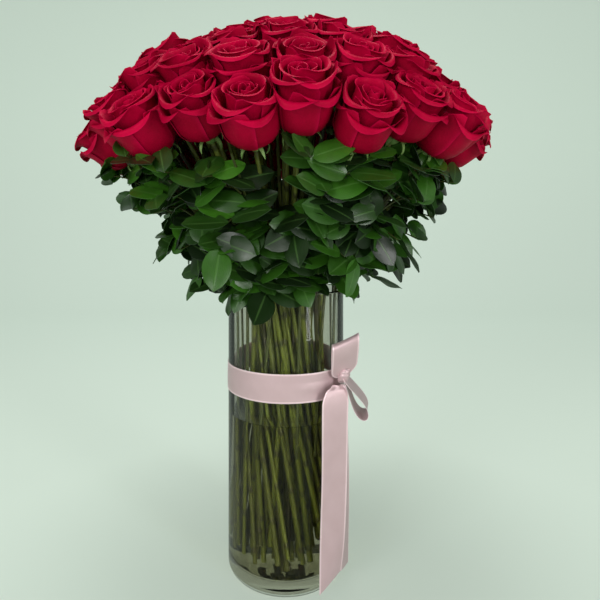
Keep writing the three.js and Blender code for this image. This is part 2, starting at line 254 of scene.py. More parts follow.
def dress(piece: Piece, angle: float, *finishes: Material) -> None:
    """Gives a piece its finishes and shades it smoothly.

    Args:
        piece: The piece.
        angle: Edges sharper than this, in degrees, stay crisp.
        finishes: The finishes, in the order of its material slots.
    """
    piece.data.materials.clear()
    for finish in finishes:
        piece.data.materials.append(finish)
    pick(piece)
    bpy.ops.object.shade_smooth_by_angle(angle=math.radians(angle))


def copy_of(piece: Piece, name: str) -> Piece:
    """Copies a piece together with its mesh, under a new name."""
    twin = piece.copy()
    twin.data = piece.data.copy()
    twin.name = name
    bpy.context.scene.collection.objects.link(twin)
    return twin


def join(name: str, pieces: Sequence[Piece]) -> Piece:
    """Joins pieces into one with this name, for the object and for its mesh."""
    whole = pick(*pieces)
    if len(pieces) > 1:
        bpy.ops.object.join()
    whole.name = name
    whole.data.name = name
    return whole


def discard(piece: Piece) -> None:
    """Takes a pattern piece away once its copies are made."""
    bpy.data.objects.remove(piece, do_unlink=True)


def face_outwards(piece: Piece) -> None:
    """Turns all faces of a closed piece outwards."""
    pick(piece)
    bpy.ops.object.mode_set(mode="EDIT")
    bpy.ops.mesh.select_all(action="SELECT")
    bpy.ops.mesh.normals_make_consistent(inside=False)
    bpy.ops.object.mode_set(mode="OBJECT")


def hand_over(piece: Piece, slot: Slot, *nodes: str) -> None:
    """Lets a finished piece ride on the part and stand for its nodes.

    Args:
        piece: The finished piece.
        slot: The record's slot; not used.
        nodes: The part's nodes that it stands for.
    """
    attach(piece, "root")
    if nodes:
        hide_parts(*nodes)
    log.info("%s: %d faces", piece.name, len(piece.data.polygons))


def rod(name: str, line: Sequence[Vector], radii: Sequence[float], sides: int = 8) -> Piece:
    """Makes a round rod along a line.

    Args:
        name: The rod's name.
        line: The middle of the rod, in millimetres.
        radii: The rod's radius at each point, in millimetres.
        sides: How many sides the section has: 4, 6 or 8.

    Returns:
        The rod as a curve, which rods_joined turns into a closed mesh.
    """
    curve = bpy.data.curves.new(name, "CURVE")
    curve.dimensions = "3D"
    curve.bevel_depth = MM
    curve.bevel_resolution = sides // 2 - 2
    curve.use_fill_caps = True
    spline = curve.splines.new("POLY")
    spline.points.add(len(line) - 1)
    for point, place, radius in zip(spline.points, line, radii):
        point.co = (*(place * MM), 1)
        point.radius = radius
    return placed(name, curve)


def rods_joined(
    name: str, rods: Sequence[Piece], joints: Sequence[Sequence[Vector]] = ()
) -> Piece:
    """Turns rods into meshes, gives each its own tone and dark joints, and joins them into one piece.

    Args:
        name: The piece's name.
        rods: The rods.
        joints: The middles of each rod's joints, in millimetres, where they have any.

    Returns:
        The piece.
    """
    pick(*rods)
    bpy.ops.object.convert(target="MESH")
    for number, piece in enumerate(rods):
        dark = np.zeros(len(piece.data.vertices))
        for joint in joints[number] if joints else ():
            nearest = np.linalg.norm(points_of(piece) / MM - np.array(joint), axis=1)
            dark = np.maximum(dark, np.clip(4.3 - nearest / 0.9, 0, 0.7))
        paint(piece, "stem", dark, 0.5 + 0.5 * scatter(number, 45))
    whole = join(name, rods)
    modify(whole, "WELD", merge_threshold=0.02 * MM)
    return whole


# Finishes


class Sketch:
    """Builds one material's nodes with short calls."""

    def __init__(self, name: str) -> None:
        """Starts a material with only its output."""
        self.material = bpy.data.materials.new(name)
        self.material.use_nodes = True
        self.tree = self.material.node_tree
        self.tree.nodes.clear()
        self.output = self.tree.nodes.new("ShaderNodeOutputMaterial")

    def add(
        self, kind: str, inputs: dict[str | int, object] | None = None, **settings: object
    ) -> bpy.types.Node:
        """Adds a node.

        Args:
            kind: The node's type, without the leading ShaderNode.
            inputs: A value, a colour code or another node's output for each input.
            settings: The node's own settings.

        Returns:
            The node.
        """
        node = self.tree.nodes.new("ShaderNode" + kind)
        for name, value in settings.items():
            setattr(node, name, value)
        for name, value in (inputs or {}).items():
            if isinstance(value, Socket):
                self.tree.links.new(value, node.inputs[name])
            else:
                node.inputs[name].default_value = shade_of(value) if isinstance(value, str) else value
        return node

    def tint(self, share: object, low: object, high: object) -> Socket:
        """Mixes two colours, each a code or another node's colour, by a share."""
        node = self.add("Mix", {0: share, 6: low, 7: high}, data_type="RGBA")
        return node.outputs[2]

    def over(self, face: object, colour: str, share: object, strength: float) -> Socket:
        """Lays a colour over a face by a share times a strength."""
        return self.tint(self.sum("MULTIPLY", share, strength), face, colour)

    def sum(self, operation: str, *terms: object) -> Socket:
        """Does one sum on numbers or sockets, kept between 0 and 1."""
        node = self.add("Math", dict(enumerate(terms)), operation=operation)
        node.use_clamp = True
        return node.outputs[0]

    def shares(self, attribute: str) -> Sequence[Socket]:
        """Reads the red, green and blue shares of a named attribute."""
        read = self.add("Attribute", attribute_name=attribute)
        return self.add("SeparateColor", {"Color": read.outputs["Color"]}).outputs

    def mottle(self, scale: float, detail: float = 2.0, stretch: Sequence[float] = (1, 1, 1)) -> Socket:
        """Gives a soft noise fixed to the object, stretched as asked."""
        place = self.add("TexCoord").outputs["Object"]
        turned = self.add("Mapping", {"Vector": place, "Scale": stretch}).outputs[0]
        noise = self.add("TexNoise", {"Vector": turned, "Scale": scale, "Detail": detail})
        return noise.outputs["Fac"]

    def bump(self, height: Socket, strength: float, distance: float) -> Socket:
        """Turns a height into a bumped normal, its distance in metres."""
        node = self.add("Bump", {"Strength": strength, "Distance": distance, "Height": height})
        return node.outputs["Normal"]

    def close(self, shader: bpy.types.Node) -> Material:
        """Ends the material with a shader."""
        self.tree.links.new(shader.outputs[0], self.output.inputs["Surface"])
        return self.material

    def principled(self, **inputs: object) -> Material:
        """Ends the material with a principled shader.

        Args:
            inputs: A value, a colour code or a socket for each input, with _ for the spaces in its name.

        Returns:
            The material.
        """
        named = {name.replace("_", " "): value for name, value in inputs.items()}
        return self.close(self.add("BsdfPrincipled", named))


def shade_of(code: str) -> tuple[float, float, float, float]:
    """Turns a colour code such as #a01030 into the values that a shader reads."""
    parts = [int(code[i : i + 2], 16) / 255 for i in (1, 3, 5)]
    red, green, blue = (p / 12.92 if p <= 0.04045 else ((p + 0.055) / 1.055) ** 2.4 for p in parts)
    return (red, green, blue, 1.0)


@dataclass(frozen=True)
class PetalFinish:
    """Velvety crimson, deeper towards a petal's foot as painted shade, and paler along its rim: partly a
    paler edge, partly painted light through the thin rim.
    """

    name: str
    face: str
    deep: str
    rim: str
    rim_share: float = 0.5
    sheen: str = "#ff3460"

    def build(self) -> Material:
        """Makes the material."""
        sketch = Sketch(self.name)
        rim, along, bloom = sketch.shares("petal")[:3]
        veins = sketch.mottle(700, 3, (1, 1, 0.25))
        blotch = sketch.sum("MULTIPLY", sketch.sum("SUBTRACT", sketch.mottle(55, 3), 0.36), 2.6)
        # Painted shade: the face darkens towards the petal's foot, deep in the bloom's creases; blotches,
        # veins and each bloom's own tone darken it at random.
        foot = sketch.sum("SUBTRACT", 1.0, sketch.sum("MULTIPLY", along, 1.3))
        face = self.face
        for share, strength in ((blotch, 0.6), (veins, 0.25), (bloom, 0.35), (foot, 1.0)):
            face = sketch.over(face, self.deep, share, strength)
        # The rim is painted paler: partly the petal's own paler edge, partly painted light shining through
        # the thin rim.
        face = sketch.over(face, self.rim, sketch.sum("POWER", rim, 2.0), self.rim_share)
        return sketch.principled(
            Base_Color=face,
            Roughness=0.5,
            Specular_IOR_Level=0.04,
            Sheen_Weight=0.02,
            Sheen_Roughness=0.35,
            Sheen_Tint=self.sheen,
            Normal=sketch.bump(veins, 0.25, 0.0004),
        )


@dataclass(frozen=True)
class LeafFinish:
    """A glossy or dull leaf face with a pale midrib and fine veins beside it."""

    name: str
    dark: str
    light: str
    rib: str
    roughness: float
    coat: float

    def build(self) -> Material:
        """Makes the material."""
        sketch = Sketch(self.name)
        tone, edge, along = sketch.shares("leaf")[:3]
        place = sketch.add("CombineXYZ", {0: edge, 1: along}).outputs[0]
        veins = sketch.add("TexWave", {"Vector": place, "Scale": 2.6, "Distortion": 1.2}).outputs["Fac"]
        rib = sketch.sum("SUBTRACT", 1.0, sketch.sum("MULTIPLY", edge, 9.0))
        face = sketch.tint(sketch.sum("POWER", tone, 1.7), self.dark, self.light)
        face = sketch.over(face, self.dark, sketch.mottle(160, 2), 0.4)
        face = sketch.over(face, self.rib, veins, 0.06)
        face = sketch.over(face, self.rib, rib, 0.35)
        height = sketch.sum("ADD", sketch.sum("MULTIPLY", veins, 0.12), sketch.sum("MULTIPLY", rib, 0.6))
        return sketch.principled(
            Base_Color=face,
            Roughness=self.roughness,
            Specular_IOR_Level=0.5,
            Coat_Weight=self.coat,
            Coat_Roughness=0.34,
            Normal=sketch.bump(height, 0.35, 0.0005),
        )


@dataclass(frozen=True)
class StemFinish:
    """A smooth green stem, streaked along its length and darker at its joints."""

    name: str
    green: str
    streak: str
    joint: str
    roughness: float = 0.45

    def build(self) -> Material:
        """Makes the material."""
        sketch = Sketch(self.name)
        joint, tone = sketch.shares("stem")[:2]
        streaks = sketch.mottle(260, 2, (1, 1, 0.12))
        face = sketch.tint(tone, self.green, self.streak)
        face = sketch.over(face, self.streak, streaks, 0.6)
        face = sketch.tint(joint, face, self.joint)
        normal = sketch.bump(streaks, 0.3, 0.0005)
        return sketch.principled(Base_Color=face, Roughness=self.roughness, Normal=normal)


@dataclass(frozen=True)
class ClearFinish:
    """Clear glass or water, which lets lamp light through and mirrors less than the real one face on."""

    name: str
    tint: str
    ior: float
    facing: str = "#8c8c8c"
    roughness: float = 0.0

    def build(self) -> Material:
        """Makes the material."""
        sketch = Sketch(self.name)
        clear = sketch.add(
            "BsdfPrincipled",
            {
                "Base Color": self.tint,
                "Roughness": self.roughness,
                "IOR": self.ior,
                "Specular Tint": self.facing,
                "Transmission Weight": 1.0,
            },
        )
        passing = sketch.add("BsdfTransparent", {"Color": self.tint})
        shadow = sketch.add("LightPath").outputs["Is Shadow Ray"]
        return sketch.close(sketch.add("MixShader", {0: shadow, 1: clear.outputs[0], 2: passing.outputs[0]}))


@dataclass(frozen=True)
class SatinFinish:
    """Pale pink satin, a little metallic for its sheen, with fine cross threads and a paler selvedge."""

    name: str
    face: str
    fold: str
    selvedge: str
    weave: str = "#8d7674"

    def build(self) -> Material:
        """Makes the material."""
        sketch = Sketch(self.name)
        across, along = sketch.shares("ribbon")[:2]
        place = sketch.add("CombineXYZ", {0: across, 1: along}).outputs[0]
        threads = sketch.add("TexWave", {"Vector": place, "Scale": 60.0}, bands_direction="Y").outputs["Fac"]
        face = sketch.over(self.face, self.fold, sketch.mottle(60, 2), 0.5)
        past_weave = sketch.sum("MULTIPLY", sketch.sum("SUBTRACT", across, 0.87), 14.0)
        face = sketch.tint(sketch.sum("SUBTRACT", 0.4, past_weave), face, self.weave)
        face = sketch.over(face, self.selvedge, sketch.sum("SUBTRACT", across, 0.9), 9.0)
        return sketch.principled(
            Base_Color=face,
            Metallic=0.35,
            Roughness=0.4,
            Specular_IOR_Level=0.8,
            Anisotropic=0.5,
            Sheen_Weight=0.25,
            Sheen_Roughness=0.4,
            Normal=sketch.bump(threads, 0.12, 0.0002),
        )


@dataclass(frozen=True)
class FloorFinish:
    """A pale matt floor and backdrop, which glows so that the lamps leave it even, is painted darker near the
    front to even out the lamps' light, and is painted dimmer where it is seen mirrored.
    """

    name: str
    near: str
    far: str
    glow: float

    def build(self) -> Material:
        """Makes the material."""
        sketch = Sketch(self.name)
        place = sketch.add("TexCoord").outputs["Object"]
        depth = sketch.add("SeparateXYZ", {0: place}).outputs["Y"]
        share = sketch.add("MapRange", {"Value": depth, "From Min": 0.2, "From Max": 1.4}).outputs[0]
        # Painted shade: the floor is darker near the front and paler up the backdrop, so that the lamp-lit
        # floor looks as bright as the backdrop.
        face = sketch.tint(share, self.near, self.far)
        # Painted dimmer in mirrored rays: glass and leaves show a darker reflection of the floor than the
        # floor itself.
        face = sketch.over(face, "#000000", sketch.add("LightPath").outputs["Is Glossy Ray"], 0.4)
        return sketch.principled(
            Base_Color=face,
            Roughness=0.9,
            Specular_IOR_Level=0.1,
            Emission_Color=face,
            Emission_Strength=self.glow,
        )


# Where the blooms stand


@dataclass(frozen=True)
class BloomPlace:
    """One bloom's place in the bunch."""

    number: int
    ring: int
    place: int
    turn: float
    axis: Vector
    foot: Vector
    heart: Vector
    size: float
    spin: float

    @property
    def node(self) -> str:
        """Names the part's node that holds this bloom."""
        if self.ring <= 1:
            return "roses_crown"
        return f"roses_ring{self.ring}_{self.place // 3 + 1}"

    def frame(self, spin: float = 0.0) -> Matrix:
        """Gives the turn and place that stand a piece on this bloom's foot, in millimetres."""
        across = (Vector((1, 0, 0)) - self.axis * self.axis.x).normalized()
        aside = self.axis.cross(across)
        stand = Matrix((across, aside, self.axis)).transposed().to_4x4()
        return Matrix.Translation(self.foot) @ stand @ Matrix.Rotation(spin, 4, "Z")


@dataclass(frozen=True)
class Dome:
    """Rings of blooms round the top of a flattened ball, each leaning out less than the ball does."""

    centre_height: float = 368
    heart_distance: float = 208
    edge_height: float = 98
    flatness: float = 0.9
    ring_step: float = 12.4
    ring_turn: float = 13
    counts: tuple[int, ...] = (1, 6, 12, 17, 21, 24)
    bloom_height: float = 52
    heart_share: float = 0.58
    upright: float = 0.74
    nod: float = 4

    def places(self) -> list[BloomPlace]:
        """Lists every bloom's place, the crown first."""
        places: list[BloomPlace] = []
        for ring, count in enumerate(self.counts):
            edge = ring == len(self.counts) - 1
            for i in range(count):
                number = len(places)
                zigzag = (1.6 if i % 2 else -1.6) if edge else 0
                tilt = math.radians(ring * self.ring_step + zigzag + 0.9 * scatter(number, 1)) if ring else 0
                turn = math.radians(360 * (i + 0.08 * scatter(number, 2)) / count + self.ring_turn * ring)
                reach = self.heart_distance + 4 * scatter(number, 3)
                heart = polar(reach * math.sin(tilt), turn, reach * math.cos(tilt))
                above = (heart.z - self.edge_height) * self.flatness
                heart.z = self.centre_height + self.edge_height + above
                lean = self.upright * tilt + math.radians(self.nod * scatter(number, 5))
                axis = polar(math.sin(lean), turn, math.cos(lean))
                foot = heart - axis * self.heart_share * self.bloom_height
                size = 1 + 0.06 * scatter(number, 4)
                places.append(BloomPlace(number, ring, i, turn, axis, foot, heart, size, 0.7 * number))
        return places


# Roses


@dataclass(frozen=True)
class Whorl:
    """One layer of petals: how many, how wide, the profile they follow and how their rims roll.

    half_angle is how much of a turn round the bloom half a petal covers, in degrees. profile holds radius and
    height, in millimetres, from the foot to the tip of a petal's middle. rise is how much higher the sides of
    the rim stand than its tip, pull how much closer, and tuck how far one side lies outside the other.
    """

    petals: int
    half_angle: float
    profile: Points
    rise: float
    pull: float
    tuck: float
    columns: int
    rows: int
    wave: float = 0.5


@dataclass(frozen=True)
class RoseHead:
    """A rose bloom from its tight heart to its rolled guard petals."""

    petal_thickness: float = 0.4
    heart: Points = ((1.2, 6), (3.6, 16), (6.2, 28), (6.0, 40), (4.6, 47.5), (4.0, 51))
    inner: Points = ((1.8, 5), (6.4, 12), (10.6, 24), (11.0, 38), (9.6, 47.5), (10.2, 52))
    third: Points = ((2.0, 4), (9.4, 8), (15.2, 20), (15.8, 35), (14.8, 46), (16.6, 51.5), (18.6, 51.6))
    fourth: Points = (
        (2.4, 2), (11.8, 5), (18.6, 15), (19.8, 29), (20.2, 39.5), (23.2, 46.8), (26.6, 47.8), (28.8, 45.4)
    )
    guard: Points = (
        (2.6, 0), (14.2, 2.2), (21.6, 11), (23.6, 22), (24.6, 31), (28.2, 37), (31.4, 36.6), (33, 33)
    )

    @property
    def whorls(self) -> tuple[Whorl, ...]:
        """Lists the layers of petals, the heart first."""
        return (
            Whorl(3, 115, self.heart, 0.8, 0.2, 1.6, 8, 6, 0.2),
            Whorl(3, 104, self.inner, 1.2, 0.3, 1.9, 10, 7, 0.3),
            Whorl(3, 102, self.third, 2.6, 1.6, 2.0, 14, 9, 0.4),
            Whorl(4, 80, self.fourth, 7.0, 4.8, 1.5, 14, 11),
            Whorl(5, 64, self.guard, 8.5, 5.4, 1.2, 14, 11),
        )

    def petal(self, whorl: Whorl, turn: float, seed: int) -> Piece:
        """Shapes one petal out of a grid.

        Args:
            whorl: The layer it belongs to.
            turn: Where round the bloom it stands, in radians.
            seed: The number that its own irregularities come from.

        Returns:
            The petal with its thickness, in metres, the bloom's foot at the origin.
        """
        piece, across, up = flat_grid("petal", whorl.columns, whorl.rows)
        away = np.abs(across)
        along = (1 - (1 - up) ** 1.3) * (1 - 0.42 * away**3.2)
        line = through([Vector((r, 0, h)) for r, h in whorl.profile], 49)
        shares = np.linspace(0, 1, len(line))
        radius = np.interp(along, shares, [point.x for point in line])
        height = np.interp(along, shares, [point.z for point in line]) * (1 + 0.035 * scatter(seed, 21))
        top = smooth((along - 0.42) / 0.58)
        tip = np.abs(across - 0.22 * scatter(seed, 28))
        side = np.clip(tip / 0.9, 0, 1.2) * (1 + 0.4 * across * scatter(seed, 22))
        loose = 0.95 + 0.25 * scatter(seed, 23) + 0.3 * scatter(seed // 1000, 29)
        height += whorl.rise * side**1.4 * top * loose
        radius -= whorl.pull * side**1.4 * top**2 * loose
        margin = np.clip((away - 0.72) / 0.28, 0, 1)
        radius += 0.3 * whorl.pull * margin**1.5 * top
        radius += whorl.tuck * across * np.clip(3 * along, 0, 1)
        radius += whorl.wave * top * np.sin(2.3 * math.pi * across + 3 * scatter(seed, 24))
        radius += (0.7 + 0.09 * whorl.rise * whorl.tuck) * scatter(seed, 25) * top
        half_angle = math.radians(whorl.half_angle * (1 + 0.06 * scatter(seed, 26)))
        narrow = 1 - 0.1 * along**4
        angle = turn + across * half_angle * narrow
        drift = 2.2 * (height / 50) ** 2 * np.clip(1.4 - radius / 20, 0, 1)
        x = radius * np.cos(angle) + drift * scatter(seed // 1000, 30)
        y = radius * np.sin(angle) + drift * scatter(seed // 1000, 31)
        set_points(piece, np.stack([x, y, height], axis=1) * MM)
        # The first channel marks the rim, which the finish paints paler, partly as painted light through the
        # thin edge. The second, along the petal, sets the painted shade towards its foot. The third is each
        # bloom's own tone.
        rim_share = np.maximum(away**8, up**7)
        paint(piece, "petal", rim_share, along, 0.5)
        thicken(piece, self.petal_thickness, use_even_offset=False, material_offset=1, material_offset_rim=2)
        return piece

    def head(self, variant: int) -> Piece:
        """Builds a whole bloom as the pattern for its copies.

        Args:
            variant: The number of the pattern, which its irregularities come from.

        Returns:
            The bloom, its foot at the origin and its axis along +Z.
        """
        petals = []
        turn = 2.1 * variant
        for layer, whorl in enumerate(self.whorls):
            turn += math.pi / whorl.petals + 0.35
            for i in range(whorl.petals):
                seed = 1000 * variant + 40 * layer + i
                place = turn + 2 * math.pi * i / whorl.petals + 0.12 * scatter(seed, 27)
                petals.append(self.petal(whorl, place, seed))
        return join(f"rose_pattern_{variant}", petals)


@dataclass(frozen=True)
class Roses:
    """All the blooms, pressed against each other and joined by the part's nodes."""

    places: Sequence[BloomPlace]
    head: RoseHead = RoseHead()
    variants: int = 5
    press_from: float = 0.7
    reach_past: float = 1.6
    neighbour_distance: float = 75
    # Each deep colour is painted shade towards the petals' feet, darkest on the inside faces; each rim colour
    # is partly painted light.
    finishes: tuple[PetalFinish, ...] = (
        PetalFinish("petal_outside", "#be0238", "#700014", "#c60844", 0.4),
        PetalFinish("petal_inside", "#b80026", "#580008", "#bc0430", 0.35),
        PetalFinish("petal_rim", "#b40228", "#860018", "#bc0e38", 0.4),
    )

    def press(self, points: np.ndarray, bloom: BloomPlace) -> np.ndarray:
        """Presses a bloom's petals against the blooms round it.

        Args:
            points: The bloom's points in place, in millimetres.
            bloom: The bloom.

        Returns:
            The points, each on its own side of the plane halfway to every neighbour.
        """
        heart = np.array(bloom.heart)
        for other in self.places:
            away = np.array(other.heart) - heart
            distance = np.linalg.norm(away)
            if other is bloom or distance > self.neighbour_distance:
                continue
            away /= distance
            limit = distance / 2 + self.reach_past
            reach = (points - heart) @ away
            soft = self.press_from * limit
            spare = limit - soft
            over = reach > soft
            eased = soft + spare * np.tanh((reach[over] - soft) / spare)
            points[over] -= (reach[over] - eased)[:, None] * away
        return points

    def bloom(self, pattern: Piece, place: BloomPlace) -> Piece:
        """Copies a pattern to a bloom's place and presses it there."""
        twin = copy_of(pattern, f"bloom_{place.number}")
        stand = np.array(place.frame(place.spin))
        points = points_of(twin) / MM * place.size
        points = points @ stand[:3, :3].T + stand[:3, 3]
        set_points(twin, self.press(points, place) * MM)
        repaint(twin, "petal", 2, 0.5 + 0.5 * scatter(place.number, 31))
        return twin

    def build(self) -> None:
        """Makes every bloom and hands the bunches over."""
        finishes = [finish.build() for finish in self.finishes]
        patterns = []
        for variant in range(self.variants):
            pattern = self.head.head(variant)
            dress(pattern, 80, *finishes)
            patterns.append(pattern)
        bunches: dict[str, list[Piece]] = {}
        for place in self.places:
            twin = self.bloom(patterns[place.number % self.variants], place)
            bunches.setdefault(place.node, []).append(twin)
        for node, blooms in bunches.items():
            hand_over(join(f"{node}_petals", blooms), Slot.PETAL, node)
        for pattern in patterns:
            discard(pattern)


# Stems and sepals


@dataclass(frozen=True)
class RoseStems:
    """The roses' stems from the glass floor through the neck to the blooms, with the sepals at their tops."""

    places: Sequence[BloomPlace]
    radius: float = 2.35
    floor_height: float = 16.6
    floor_step: float = 9.0
    neck_height: float = 316
    neck_step: float = 8.8
    twist: float = 62
    joint_steps: tuple[int, int] = (2, 5)
    joint_rows: Points = ((-1, 1), (-0.45, 1.05), (0, 1.28), (0.4, 1.05), (1, 1))
    sepal_count: int = 5
    sepal_length: float = 21
    sepal_width: float = 5
    hip_radius: float = 6.2
    stem_finish: StemFinish = StemFinish("rose_stem", "#6e7c26", "#2a2a0e", "#1c1408")
    sepal_finish: LeafFinish = LeafFinish("sepal", "#4f7030", "#8ba35e", "#a9ba80", 0.55, 0.0)

    def line(self, bloom: BloomPlace) -> list[Vector]:
        """Gives a few points along a bloom's stem, its cut foot first."""
        number = bloom.number
        sway = math.radians(20 * scatter(number, 41) - (85 if number % 9 == 4 else 0))
        radius = bloom.ring * self.floor_step * (1 + 0.03 * scatter(number, 42))
        lift = 13 * (1 + scatter(number, 43)) if bloom.ring > 1 else 0
        floor = polar(radius, bloom.turn + math.radians(self.twist) + sway, self.floor_height + lift)
        neck = polar(bloom.ring * self.neck_step, bloom.turn, self.neck_height)
        middle = floor.lerp(neck, 0.5)
        calyx = bloom.foot - bloom.axis * 7
        knee = neck.lerp(calyx, 0.45) + UP * 3
        return [floor, middle, neck, knee, calyx, bloom.foot - bloom.axis * 0.5]

    def stem(self, bloom: BloomPlace) -> tuple[Piece, list[Vector]]:
        """Makes one stem.

        Returns:
            The stem's rod, and the middles of its joints.
        """
        route = through(self.line(bloom), 26)
        number = bloom.number
        thick = self.radius * (1 + 0.16 * scatter(number, 44))
        line, radii, joints = [], [], []
        for i, point in enumerate(route):
            taper = thick * mix(1.0, 0.85, i / (len(route) - 1))
            line.append(point)
            radii.append(taper)
            every = self.joint_steps[0] if i < 10 else self.joint_steps[1]
            if i % every == number % every and i < len(route) - 4:
                ahead = route[i + 1] - point
                reach = min(4.2, 0.36 * ahead.length)
                joint = point + ahead * (0.5 + 0.1 * scatter(number + i, 46))
                ahead.normalize()
                line += [joint + ahead * reach * step for step, _ in self.joint_rows]
                radii += [taper * swell for _, swell in self.joint_rows]
                joints.append(joint)
        return rod(f"stem_{number}", line, radii, 8), joints

    def sepals(self) -> Piece:
        """Shapes the five sepals and the hip under one bloom.

        Returns:
            The pattern, the bloom's foot at the origin.
        """
        pieces = []
        for i in range(self.sepal_count):
            seed = 500 + i
            piece, across, along = flat_grid("sepal", 2, 6)
            width = self.sepal_width / 2 * (1 - along) ** 0.8 * (0.7 + 0.9 * along)
            length = self.sepal_length * (1 + 0.2 * scatter(seed, 51))
            droop = 0.5 * scatter(seed, 52)
            lean = 1.35 + droop + 1.1 * along
            radius = 3.2 + length * along * np.sin(lean)
            height = 1.5 + length * along * np.cos(lean) * 0.7
            angle = 2 * math.pi * i / self.sepal_count
            places = np.stack([radius, across * np.maximum(width, 0.15), height], axis=1)
            turn = np.array(Matrix.Rotation(angle, 3, "Z"))
            set_points(piece, places @ turn.T * MM)
            paint(piece, "leaf", 0.5 + 0.5 * scatter(seed, 53), np.abs(across), along)
            thicken(piece, 0.5)
            pieces.append(piece)
        deselect()
        bpy.ops.mesh.primitive_uv_sphere_add(segments=10, ring_count=7, radius=self.hip_radius * MM)
        hip = bpy.context.active_object
        places = points_of(hip)
        places[:, 2] = places[:, 2] * 1.15 - 1.5 * MM
        set_points(hip, places)
        paint(hip, "leaf", 0.4, 0.5, 0.5)
        pieces.append(hip)
        return join("sepal_pattern", pieces)

    def build(self) -> None:
        """Makes the stems and the sepals and hands them over."""
        made = [self.stem(bloom) for bloom in self.places]
        stems = rods_joined("rose_stalks", [piece for piece, _ in made], [joints for _, joints in made])
        dress(stems, 50, self.stem_finish.build())
        hand_over(stems, Slot.STEM, "rose_stems")
        pattern = self.sepals()
        dress(pattern, 60, self.sepal_finish.build())
        twins = []
        for bloom in self.places:
            twin = copy_of(pattern, f"sepals_{bloom.number}")
            stand = bloom.frame(0.9 * bloom.number)
            stand.translation *= MM
            twin.data.transform(stand)
            twins.append(twin)
        discard(pattern)
        hand_over(join("rose_sepals", twins), Slot.STEM, "rose_stems")


# Leafy sprays


@dataclass(frozen=True)
class Twig:
    """One side twig of a spray.

    share is how far up the collar it ends, from the rim at 0 to the blooms at 1; lie is which way its leaves
    point, 1 for up and -1 for down.
    """

    start: Vector
    end: Vector
    share: float
    lie: float
    seed: int


